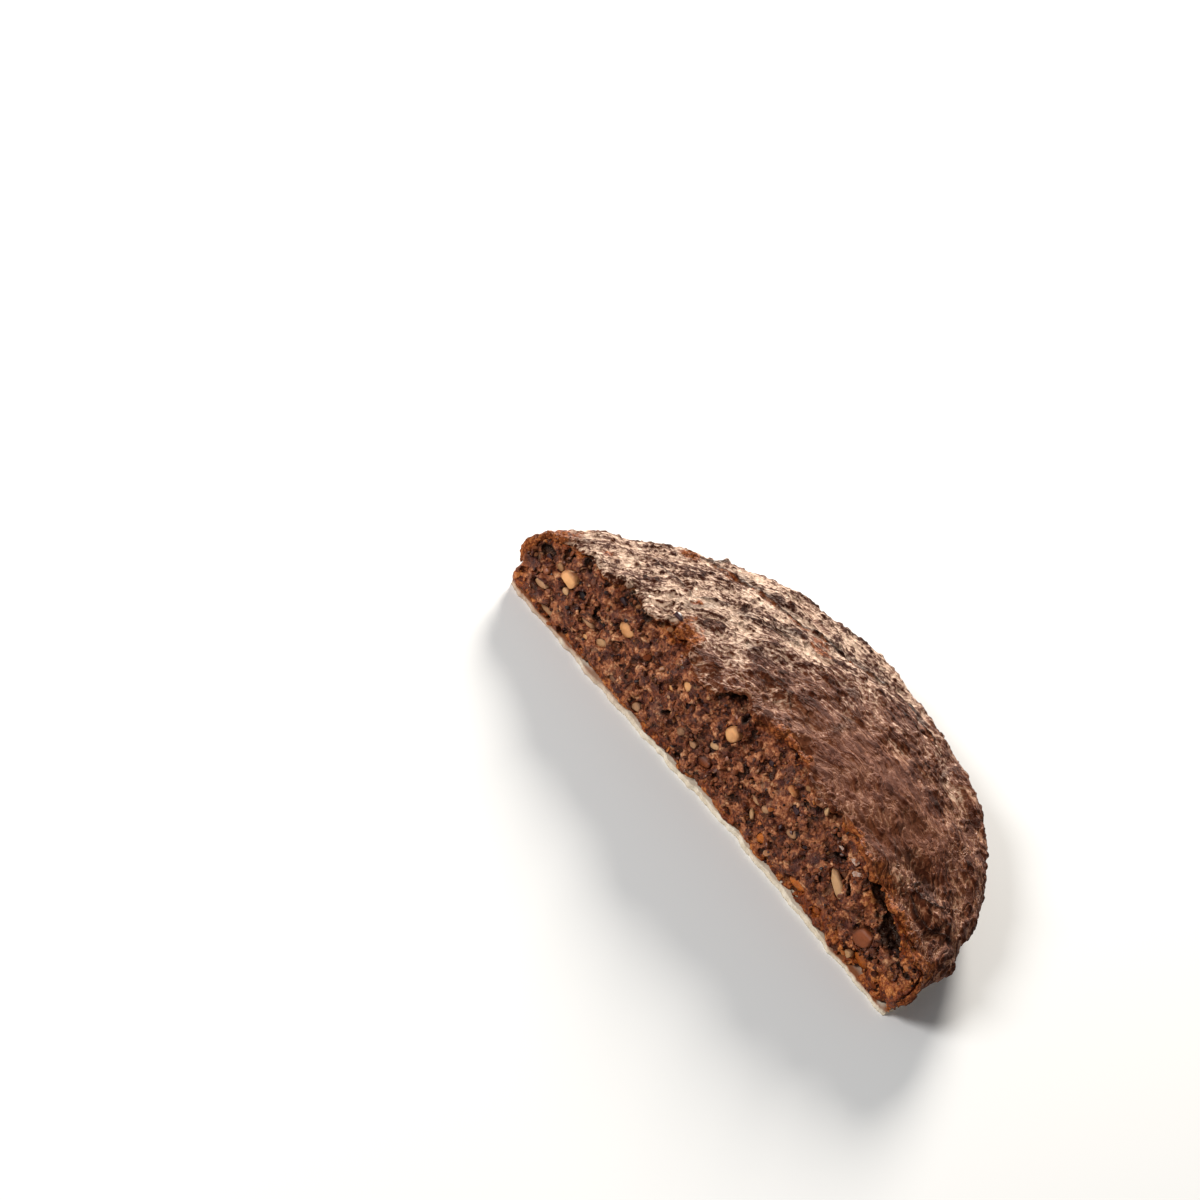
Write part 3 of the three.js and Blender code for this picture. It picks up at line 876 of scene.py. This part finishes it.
def skin_relief(points):
    """Height of the skin's wrinkles, pits and lumps, and how crested the skin is. How crested it is
    sets the skin's colour: partly its own tone, partly painted shade in the pits and painted
    highlight on the crests.
    """
    lines = wrinkle_place(points, 9)
    rough = 1 - skin_calm(points)
    wide = smoothstep(0.55, 1.0, ridges(lines, 2.4, 22))
    narrow = smoothstep(0.55, 1.0, ridges(lines, 1.3, 23))
    line = np.maximum(wide, 0.9 * narrow) - 0.35
    rolls = noise(lines, 3.4, 29) - 0.5
    broad = noise(points, 3.2, 26) - 0.5
    grit = noise(points, 0.6, 24) - 0.5
    pits = smoothstep(0.62, 0.8, noise(points, 0.95, 25))
    height = rough * (0.32 * line + 0.9 * rolls + 0.3 * grit - 0.26 * pits)
    height += 0.16 * (noise(points, 2.4, 27) - 0.5)
    crest = 0.5 + rough * (0.5 * line + 0.35 * rolls + 0.6 * broad + 0.3 * grit - 0.3 * pits)
    side = smoothstep(8.5, 5.5, points[:, 2])
    grain = grains(points, 1.5, 28)
    height = (1 - side) * height + side * (0.4 * (grain - 0.4) + 0.5 * height)
    height -= crevice_depth(points)
    crest = (1 - side) * crest + side * (0.3 + 0.25 * grain)
    return height, crest


def skin_calm(points):
    """How smooth the skin is: most in front right."""
    return 0.45 * oval(points, CALM) * (1 - 0.7 * oval(points, FOLDS))


def skin_frost(points):
    """How strong the painted sheen is, a painted highlight on the crests where the light falls: most
    at the left and round the back, least in front right and low on the side."""
    x, y = disc_place(points)
    frost = smoothstep(20, -24, x - 0.6 * (y - 12))
    rim = smoothstep(27, 39, np.hypot(x, y)) * smoothstep(8, 18, y) * smoothstep(36, 16, x)
    patchy = noise(points, 3.0, 31) - 0.5
    low = smoothstep(11, 1, points[:, 2] + 5 * patchy)
    return np.clip(np.maximum(frost, 0.55 * rim) + 0.35 * patchy, 0, 1) * (1 - 0.7 * low)


# Stretches along the break where the skin's top is torn off and shows orange, as middle,
# half length and reach back from the broken edge.
TORN_STRETCHES = [
    (-45.5, 3.6, 3.4),
    (-17.3, 2.8, 3.0),
    (7.0, 4.5, 0.9),
    (25.0, 3.5, 0.9),
    (35.3, 7.0, 2.4),
    (43.5, 3.0, 2.6),
]
# Small places where the skin has flaked off: middle, half sizes and turn.
TORN_PLACES = [
    (-33.4, 24.8, 2.8, 1.8, 0.9),
    (-26.5, 26.5, 1.1, 0.9, 0.0),
    (-9.2, 30.6, 1.6, 0.9, 0.1),
    (-7.6, 28.2, 1.7, 0.9, 0.2),
    (-22.6, 13.4, 0.8, 1.3, 0.1),
    (-37.5, 8.6, 1.2, 0.8, 0.1),
]


def along_break(points, stretches, ends, blotch, fade, away):
    """1 in stretches along the break, given by middle, half length and reach, and 0 outside
    them. The points' distances away count against the reach."""
    x, _ = disc_place(points)
    share = np.zeros(len(points))
    for middle, half, reach in stretches:
        along = smoothstep(*ends, np.abs(x - middle) / half)
        share = np.maximum(share, along * smoothstep(reach * blotch, fade * reach * blotch, away))
    return share


def skin_torn(points, skin):
    """Where the skin's orange inside shows: in its broken edge and where its top is gone."""
    behind = skin.behind(points)
    torn = smoothstep(0.25, 0.6, skin.depth(points)) * smoothstep(1.5, 0.0, behind)
    blotch = 0.4 + 1.2 * noise(points, 1.3, 34)
    torn = np.maximum(torn, along_break(points, TORN_STRETCHES, (1.2, 0.7), blotch, 0.6, behind))
    spots = smoothstep(0.35, 0.65, patches(points, TORN_PLACES) + 0.5 * noise(points, 0.8, 32) - 0.25)
    return np.maximum(np.maximum(torn, spots), crevice_glow(points))


# Soft dark places in the skin, partly painted shade along creases and folds: middle, half sizes and
# turn.
DARK_PLACES = [
    (33.0, 14.0, 3.2, 1.6, 0.1),
    (29.0, 13.2, 1.3, 0.8, 1.3),
    (35.8, 11.8, 1.6, 1.1, 0.4),
    (-22.0, 30.4, 8.0, 1.0, 0.12),
    (-7.0, 35.0, 8.0, 1.1, 0.5),
    (8.0, 39.8, 4.0, 0.9, -0.3),
    (1.0, 26.0, 1.6, 1.0, 0.2),
    (-10.5, 14.5, 2.2, 1.4, 0.4),
    (-12.4, 25.0, 2.6, 1.1, 0.9),
    (-42.0, 7.0, 1.6, 0.8, 0.6),
    (19.0, 34.0, 3.0, 0.8, 2.2),
    (5.5, 20.0, 1.4, 0.9, 1.0),
    (7.0, 17.0, 1.0, 2.2, 0.1),
    (27.0, 33.0, 1.6, 0.9, 0.8),
    (-21.5, 14.0, 1.0, 3.4, -0.2),
    (-17.5, 20.0, 1.0, 2.4, -0.5),
]
# Sharp crevices in the skin, also painted dark inside as shade: depth, half width and the points they
# run through.
CREVICES = [
    (0.42, 0.24, ((33.2, 13.2), (33.7, 10.9), (35.6, 9.8), (37.2, 10.9), (38.3, 13.2))),
    (0.45, 0.26, ((34.8, 9.0), (36.8, 7.6), (38.6, 7.1), (40.6, 8.4), (42.2, 11.4))),
    (
        0.4,
        0.35,
        ((-30.6, 28.2), (-24.0, 29.3), (-18.0, 29.4), (-12.6, 31.4), (-5.0, 35.0), (0.4, 38.4)),
    ),
    (0.35, 0.3, ((4.6, 40.6), (8.0, 39.0), (12.4, 37.9))),
    (0.25, 0.25, ((-35.4, 14.6), (-29.0, 15.4), (-24.0, 14.2), (-20.4, 19.0))),
    (0.25, 0.25, ((-16.6, 21.4), (-13.4, 22.4), (-9.6, 24.6))),
    (0.3, 0.3, ((-33.8, 24.0), (-31.6, 28.8), (-30.6, 32.0))),
    (0.25, 0.22, ((-9.0, 11.6), (-4.0, 12.6), (1.6, 11.4))),
    (0.2, 0.2, ((24.0, 8.8), (28.0, 7.4), (33.0, 5.6))),
    (0.2, 0.2, ((26.0, 11.6), (31.0, 8.8), (34.0, 6.8))),
]
GLOWING = CREVICES[2:4]  # these show orange along their front


def line_distance(x, y, line):
    """Distance on the table from a line through points."""
    nearest = np.full(len(x), 99.0)
    for (ax, ay), (bx, by) in zip(line, line[1:]):
        dx, dy = bx - ax, by - ay
        t = np.clip(((x - ax) * dx + (y - ay) * dy) / (dx * dx + dy * dy), 0, 1)
        nearest = np.minimum(nearest, np.hypot(x - ax - t * dx, y - ay - t * dy))
    return nearest


def crevice_depth(points, lines=CREVICES, forward=0.0):
    """How deep the crevices are at the points. More forward moves them to the front."""
    x, y = disc_place(points)
    wander = 1.2 * (noise(points, 1.6, 35) - 0.5)
    depth = np.zeros(len(points))
    for deep, half, line in lines:
        away = line_distance(x + wander, y + wander + forward, line)
        depth = np.maximum(depth, deep * np.exp(-((away / half) ** 2)))
    return depth


def patches(points, places):
    """1 in the middle of the nearest of some soft oval places, and 0 away from them."""
    x, y = disc_place(points)
    warp = 1.6 * (noise(points, 2.0, 33) - 0.5)
    share = np.zeros(len(points))
    for px, py, long, wide, turn in places:
        u, v = rotated(x - px + warp, y - py + warp, turn)
        share = np.maximum(share, np.exp(-((u / long) ** 2) - (v / wide) ** 2))
    return share


def skin_dark_and_shade(points):
    """How dark the skin is: in soft dark places, partly painted shade along creases and folds, and in
    the crevices, where it is painted shade.
    """
    dark = 0.6 * patches(points, DARK_PLACES)
    return np.clip(np.maximum(dark, 3.2 * crevice_depth(points)), 0, 0.95)


def crevice_glow(points):
    """Orange that shows along the front of some crevices."""
    glow = 2.5 * crevice_depth(points, GLOWING, forward=0.6)
    return np.clip(glow * smoothstep(0.35, 0.6, noise(points, 1.4, 36)), 0, 1)


# ---- the pieces ----

MOST_TRIANGLES = 190000  # in one piece


def settle(piece, node):
    """Hangs a piece on the root body that it rides on, and hides the node whose place it takes."""
    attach(piece, "root")
    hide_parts(node)


def build_skin():
    """The baked skin on top and round the side, with its wrinkles."""
    body, skin = skin_volume()
    piece = make_object("dough_skin", *body.mesh(), skin_material())
    points = vertex_points(piece)
    outside = smoothstep(1.2, 0.3, skin.depth(points))
    outside = np.maximum(outside, smoothstep(-1, 0, disc_radius(points) - side_start(points)))
    outside *= smoothstep(WAFER_TOP, WAFER_TOP + 0.8, points[:, 2])
    height, _ = skin_relief(points)
    raise_surface(piece, points, outside * height)
    thin_out(piece, MOST_TRIANGLES)
    points = vertex_points(piece)
    # The crest and dark values carry painted shade and painted highlight besides the skin's own tone,
    # and the crests' cream sheen is painted highlight.
    add_attributes(
        piece,
        crest=skin_relief(points)[1],
        frost=skin_frost(points),
        calm=skin_calm(points),
        dark=skin_dark_and_shade(points),
        raw=skin_torn(points, skin),
        wrinkles=wrinkle_place(points, 13),
    )
    settle(piece, "dough")
    return skin


# Stretches along the break where the crumb next to the skin is baked orange, as middle,
# half length and reach down from the skin.
ORANGE_STRETCHES = [
    (-43.0, 6.0, 1.4),
    (-30.0, 5.0, 1.0),
    (-18.0, 3.6, 3.0),
    (6.0, 5.5, 1.8),
    (14.5, 3.5, 1.0),
    (23.0, 3.0, 1.8),
    (36.0, 8.0, 3.2),
]
ORANGE_FOOT = 1.9  # the crumb is orange up to this height over the wafer, and more at the right


def crumb_warmth(points, skin):
    """How orange the crumb is: next to the skin here and there, and low over the wafer."""
    x, _ = disc_place(points)
    blotch = 0.5 + 1.0 * noise(points, 1.8, 44)
    warm = along_break(points, ORANGE_STRETCHES, (1.3, 0.6), blotch, 0.3, skin.depth(points))
    right = smoothstep(12, 34, x)
    left = smoothstep(-38, -46, x)
    tip = smoothstep(38, 44, x)
    foot = (ORANGE_FOOT + 2.4 * right + 2.0 * left + 5.0 * tip) * blotch
    low = smoothstep(foot, 0.3 * foot, points[:, 2] - WAFER_TOP)
    return np.clip(np.maximum(warm, 0.85 * low), 0, 0.92)


def build_crumb(skin):
    """The broken crumb. The finest grains are raised on its mesh."""
    crumb = crumb_volume(skin)
    piece = make_object("dough_crumb", *crumb.mesh(), crumb_material())
    points = vertex_points(piece)
    bumps = 0.14 * (grains(points, 0.6, 6) - 0.4)
    inner = smoothstep(-0.1, -0.4, crumb_region(points, skin))
    raise_surface(piece, points, inner * bumps)
    thin_out(piece, MOST_TRIANGLES)
    points = vertex_points(piece)
    size, seed, _ = GRAIN_SIZES[1]
    squared, _, own = nearest_grain(points, size, seed)
    # Painted shade: darker between the grains, where a grain is missing and in the hollows.
    missing = (grain_value(own, seed) < GRAIN_MISSING) * smoothstep(0.7, 0.2, squared)
    between = smoothstep(0.36, 0.62, squared)
    hollow = smoothstep(1.55, 1.0, hollow_share(points))
    deep = np.maximum(np.maximum(0.7 * missing, 0.5 * between), 0.95 * hollow)
    tone = grain_value(own, seed + 7)
    add_attributes(piece, grain=tone, warm=crumb_warmth(points, skin), deep=deep)
    settle(piece, "dough")
    return piece


def ball(level):
    """Points and triangles of a round ball of triangles."""
    mesh = bmesh.new()
    bmesh.ops.create_icosphere(mesh, subdivisions=level, radius=1.0)
    points = np.array([v.co[:] for v in mesh.verts], np.float32)
    faces = np.array([[v.index for v in f.verts] for f in mesh.faces], np.int32)
    mesh.free()
    return points, faces


def chopped(points, rng, cuts, near):
    """A ball with flat places cut into it by random planes, none nearer its middle than
    given."""
    points = points.copy()
    for _ in range(cuts):
        way = rng.normal(size=3)
        way /= np.linalg.norm(way)
        over = np.maximum(points @ way - rng.uniform(near, 0.9), 0)
        points -= 0.9 * over[:, None] * way
    return points


def joined(name, parts, faces, material, smooth):
    """One mesh object from many copies of a ball's triangles."""
    count = len(parts[0])
    all_faces = np.concatenate([faces + i * count for i in range(len(parts))])
    return make_object(name, np.concatenate(parts), all_faces, material, smooth)


# The flat places of each kind of piece: how many, and how near to its middle they can be.
PIECE_CUTS = {
    "nut": (4, 0.62),
    "almond": (5, 0.62),
    "tan": (5, 0.62),
    "brown": (6, 0.55),
    "peel": (6, 0.62),
    "fruit": (7, 0.4),
    "sugar": (9, 0.1),
}
# How all but the sugar look: dark and light tone, roughness and share of light that seeps in.
PIECE_LOOKS = {
    "nut": ((164, 98, 50), (228, 168, 112), 0.5, 0.2),
    "almond": ((146, 100, 62), (200, 156, 112), 0.5, 0.15),
    "tan": ((116, 76, 50), (182, 136, 98), 0.5, 0.1),
    "brown": ((70, 31, 15), (134, 69, 34), 0.5, 0.05),
    "peel": ((122, 56, 16), (188, 104, 38), 0.24, 0.35),
    "fruit": ((26, 12, 14), (64, 38, 40), 0.4, 0.1),
}
CUT_FRONT = 0.35  # a piece is flattened from this share of its half width forwards


def build_pieces():
    """The nut pieces and the like in the crumb, one mesh for each kind."""
    for number, (kind, (cuts, near)) in enumerate(PIECE_CUTS.items()):
        base, faces = ball(1 if kind == "sugar" else 4)
        rng = np.random.RandomState(SEED + 70 + number)
        parts, rims = [], []
        for (_, _, long, wide, turn, sort), centre in PIECES:
            if sort != kind:
                continue
            shape = chopped(base, rng, cuts, near)
            shape *= 1 + 0.35 * (noise(shape + 9 * len(parts), 0.8, 40)[:, None] - 0.5)
            rims.append(np.hypot(shape[:, 0], shape[:, 2]))
            shape *= np.array([long, wide, wide]) / 2
            u, v, w = shape.T
            front = -CUT_FRONT * wide / 2
            v = np.where(v < front, front + 0.3 * (v - front), v)
            x, z = rotated(u, w, -turn)
            z = np.maximum(z, WAFER_TOP + 0.02 - centre[2])
            parts.append(kept_in_box(np.stack([x, v, z], axis=1) + centre))
        looks = PIECE_LOOKS.get(kind)
        material = piece_material(kind, *looks) if looks else sugar_material()
        piece = joined("pieces_" + kind, parts, faces, material, smooth=kind != "sugar")
        add_attributes(piece, rim=np.concatenate(rims))
        settle(piece, "dough")


# Loose grains that stand in the broken crumb: how many, sizes from and to, and colours.
BITS = {
    "brown": (900, 0.3, 1.1, (56, 24, 16), (140, 80, 50)),
    "dark": (130, 0.35, 1.0, (30, 13, 11), (62, 34, 32)),
    "tan": (130, 0.3, 1.0, (112, 66, 40), (172, 118, 78)),
    "orange": (260, 0.3, 1.0, (110, 50, 20), (184, 108, 54)),
}
BIT_LOOKS = (0.35, 0.15)  # roughness and share of light that seeps in
BIT_CUTS = (7, 0.1)  # flat places, and how near to the middle they can be
NUT_CLEARANCE = 1.5  # no grain stands this near to the middle of one of the solid's nuts


def build_bits(crumb, skin):
    """Grains pressed into the crumb where it is broken, one piece for each colour."""
    points = vertex_points(crumb)
    normals = vertex_values(crumb, "normal")
    open_face = (crumb_region(points, skin) < -0.12) & (points[:, 2] > WAFER_TOP + 0.25)
    open_face &= hollow_share(points) > 1.1
    for _, centre in PIECES[: len(NUTS)]:
        open_face &= np.linalg.norm(points - centre, axis=1) > NUT_CLEARANCE
    places, normals = points[open_face], normals[open_face]
    warm = crumb_warmth(places, skin)
    base, faces = ball(2)
    for number, (kind, (count, small, large, dark, light)) in enumerate(BITS.items()):
        rng = np.random.RandomState(SEED + 60 + number)
        weight = 0.1 + warm if kind == "orange" else 1.1 - warm
        chosen = rng.choice(len(places), count, replace=False, p=weight / weight.sum())
        parts = []
        for i in chosen:
            size = small + (large - small) * rng.rand() ** 2.4
            shape = chopped(base, rng, *BIT_CUTS)
            shape *= size / 2 * rng.uniform(0.6, 1.5, 3)
            turn = Matrix.Rotation(rng.uniform(0, 6.28), 3, rng.normal(size=3))
            placed = shape @ np.array(turn) + places[i] - 0.3 * size * normals[i]
            parts.append(kept_in_box(placed))
        material = piece_material("bit_" + kind, dark, light, *BIT_LOOKS)
        settle(joined("bits_" + kind, parts, faces, material, smooth=False), "dough")


WAFER_STATIONS = 460
WAFER_ROWS = (0, 0.003, 0.008, 0.016, 0.03, 0.06, 0.12, 0.25, 0.5, 0.75, 0.9, 0.97, 0.993, 1)
WAFER_LEVELS = (0.25, 0.5, 0.75)
WAFER_TIP = 0.03  # angle from the line between the tips to the first and the last station
ROUND_BAND = 0.6  # points of the round edge lie this near to the wafer's radius
TORN_BAND = 1.8  # points of the torn edge lie this near to the line between the tips


def wafer_edges():
    """Angle and radius along the solid's round edge, and x and y along its torn edge."""
    points, _ = node_triangles("wafer")
    points = points[points[:, 2] > WAFER_TOP / 2]
    x, y = disc_place(points)
    radius, angle = np.hypot(x, y), np.arctan2(y, x)
    rim = (radius > WAFER_RADIUS - ROUND_BAND) & (angle > 0.02)
    torn = (y < TORN_BAND) & ((radius < WAFER_RADIUS - 1.5) | (y < 0.8))
    round_edge = np.stack([angle[rim], radius[rim]])
    torn_edge = points[torn, :2].T
    return round_edge[:, np.argsort(round_edge[0])], torn_edge[:, np.argsort(torn_edge[0])]


def wafer_points():
    """The wafer's points. At each station a loop runs over its top and back below it, and
    the number of points in a loop is given too."""
    round_edge, torn_edge = wafer_edges()
    turn = np.linspace(WAFER_TIP, math.pi - WAFER_TIP, WAFER_STATIONS)
    reach = np.interp(turn, *round_edge)
    back_x = CENTRE_X + reach * np.cos(turn)
    back_y = BREAK_Y + reach * np.sin(turn)
    front_y = np.minimum(np.interp(back_x, *torn_edge), back_y - 0.2)
    rows, levels = np.array(WAFER_ROWS), np.array(WAFER_LEVELS)
    along = np.concatenate([rows, np.ones(len(levels)), rows[::-1], np.zeros(len(levels))])
    top, bottom = np.ones(len(rows)), np.zeros(len(rows))
    up = np.concatenate([top, levels[::-1], bottom, levels]) * WAFER_TOP
    y = front_y[:, None] + (back_y - front_y)[:, None] * along
    x = np.repeat(back_x[:, None], len(along), axis=1)
    grid = np.stack([x, y, np.broadcast_to(up, y.shape)], axis=2).reshape(-1, 3)
    at_tear = np.tile(smoothstep(0.03, 0.0, along), WAFER_STATIONS)
    at_rim = np.tile(smoothstep(0.97, 1.0, along), WAFER_STATIONS)
    ragged = 0.5 * (noise(grid, 0.9, 50) - 0.5) + 0.3 * (noise(grid, 0.35, 51) - 0.5)
    grid[:, 1] += at_tear * ragged
    out = (grid[:, :2] - CENTRE[:2]) / WAFER_RADIUS
    grid[:, :2] += (at_rim * 0.4 * ragged)[:, None] * out
    return kept_in_box(grid), len(along)


def faces_between_loops(loops, around):
    """Four-sided faces from each closed loop of points to the next."""
    i = np.arange(loops - 1)[:, None] * around
    j = np.arange(around)
    k = (j + 1) % around
    return np.stack([i + j, i + around + j, i + around + k, i + k], axis=2).reshape(-1, 4)


def wafer_stain(points):
    """How brown the wafer is: near its torn edge, at the left and on top at the right."""
    x, y = disc_place(points)
    upper = smoothstep(0.6, 0.95, points[:, 2] / WAFER_TOP)
    left = smoothstep(-10, -32, x) * (0.45 + 0.55 * upper)
    right = smoothstep(29, 34, x) * upper
    stain = np.maximum(left, right) * smoothstep(3.0, 1.0, y)
    return 0.95 * (stain * smoothstep(0.1, 0.55, noise(points, 1.6, 52)))


def build_wafer():
    """The wafer with a finely torn edge, on the outline of its solid."""
    points, around = wafer_points()
    faces = faces_between_loops(WAFER_STATIONS, around)
    wafer = make_object("wafer_torn", points, faces, wafer_material())
    mesh = bmesh.new()
    mesh.from_mesh(wafer.data)
    bmesh.ops.holes_fill(mesh, edges=[e for e in mesh.edges if e.is_boundary], sides=0)
    bmesh.ops.recalc_face_normals(mesh, faces=mesh.faces)
    mesh.to_mesh(wafer.data)
    mesh.free()
    add_attributes(wafer, stain=wafer_stain(vertex_points(wafer)))
    settle(wafer, "wafer")


# ---- floor, light and camera ----

CAMERA_DISTANCE = 550.0
CAMERA_AZIMUTH = math.radians(28.4)
CAMERA_ELEVATION = math.radians(38.4)
CAMERA_ROLL = math.radians(-30.3)
PICTURE = 1200.0  # side of the photograph's frame in pixels
PIXELS_PER_MM = 6.691  # at the camera's distance
CENTRE_PIXEL = (690.1, 793.6)  # where the round biscuit's middle, on the table, shows
SENSOR = 36.0


def camera_axes():
    """Directions to the right and up in the picture and back to the camera."""
    a, e = CAMERA_AZIMUTH, CAMERA_ELEVATION
    back = Vector((math.sin(a) * math.cos(e), -math.cos(a) * math.cos(e), math.sin(e)))
    right = Vector((math.cos(a), math.sin(a), 0))
    return *rotated(right, back.cross(right), -CAMERA_ROLL), back


def build_camera():
    right, up, back = camera_axes()
    aside = (CENTRE_PIXEL[0] - PICTURE / 2) / PIXELS_PER_MM
    above = -(CENTRE_PIXEL[1] - PICTURE / 2) / PIXELS_PER_MM
    place = Vector(CENTRE) + back * CAMERA_DISTANCE - right * aside - up * above
    data = bpy.data.cameras.new("camera")
    data.sensor_width = SENSOR
    data.lens = PIXELS_PER_MM * CAMERA_DISTANCE * SENSOR / PICTURE
    camera = bpy.data.objects.new("camera", data)
    bpy.context.scene.collection.objects.link(camera)
    turn = Matrix((right, up, back)).transposed().to_4x4()
    camera.matrix_world = Matrix.Translation(place * MM) @ turn
    bpy.context.scene.camera = camera


def build_floor():
    s = Shader("floor")
    material = s.finish(Base_Color=(0.9, 0.9, 0.89, 1), Roughness=0.7)
    side = 3000.0
    corners = np.array([[-side, -side, 0], [side, -side, 0], [side, side, 0], [-side, side, 0]])
    floor = make_object("floor", corners, np.array([[0, 1, 2, 3]]), material, smooth=False)


def area_light(name, direction, distance, size, watts, colour=(1, 1, 1)):
    """A soft light that shines on the biscuit from a direction, given in the world."""
    data = bpy.data.lights.new(name, "AREA")
    data.shape = "DISK"
    data.size = size * MM
    data.energy = watts
    data.color = colour
    light = bpy.data.objects.new(name, data)
    bpy.context.scene.collection.objects.link(light)
    way = Vector(direction).normalized()
    light.location = way * distance * MM
    light.rotation_mode = "QUATERNION"
    light.rotation_quaternion = way.to_track_quat("Z", "Y")


def build_lights():
    area_light("back_light", (-0.65, 0.9, 0.42), 700, 220, 8.6, (1, 0.95, 0.88))
    area_light("front_light", (-0.5, -1.0, 0.8), 800, 300, 4.6)
    world = bpy.data.worlds.new("world")
    bpy.context.scene.world = world
    world.use_nodes = True
    background = world.node_tree.nodes["Background"]
    background.inputs["Color"].default_value = (1, 1, 1, 1)
    background.inputs["Strength"].default_value = 0.2
    bpy.context.scene.view_settings.view_transform = "Standard"


build_camera()
skin = build_skin()
crumb = build_crumb(skin)
build_pieces()
build_bits(crumb, skin)
build_wafer()
build_floor()
build_lights()
